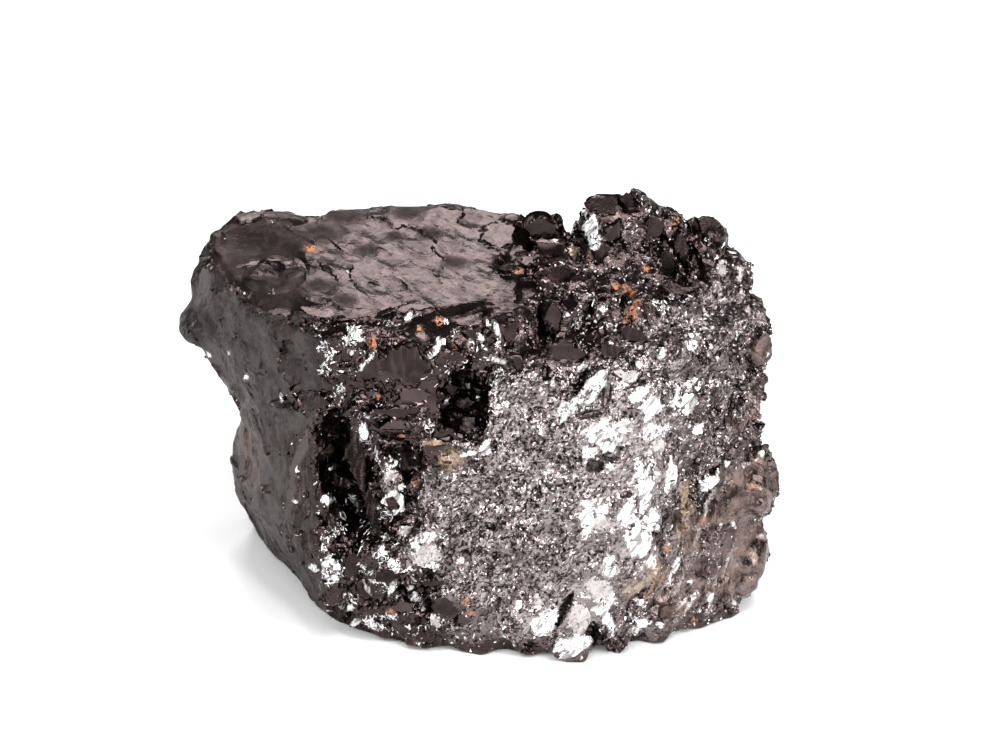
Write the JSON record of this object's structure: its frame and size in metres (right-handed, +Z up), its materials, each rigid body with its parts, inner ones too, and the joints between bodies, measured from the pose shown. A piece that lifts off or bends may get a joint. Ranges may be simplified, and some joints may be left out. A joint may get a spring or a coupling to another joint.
{
  "type": "elite shungite chunk",
  "caption": "Rough chunk of silver-black elite shungite with a flat cleaved top, a sparkling granular front face, a knobbly crest and a flat foot to rest on.",
  "frame": {"origin": "under the middle of the chunk's bounding box, on the plane of its flat foot", "axes": "+Z up, +X along the chunk's longest side towards the knobbly crest, and the broad sparkling fracture face towards -Y"},
  "size_m": [0.0518, 0.0284, 0.0375],
  "materials": {
    "shungite": "semi-metallic, glassy silver-black, with bright glints on fresh fractures and faint rust stains"
  },
  "bodies": {
    "root": {"shungite_stone": "shungite"}
  },
  "joints": []
}
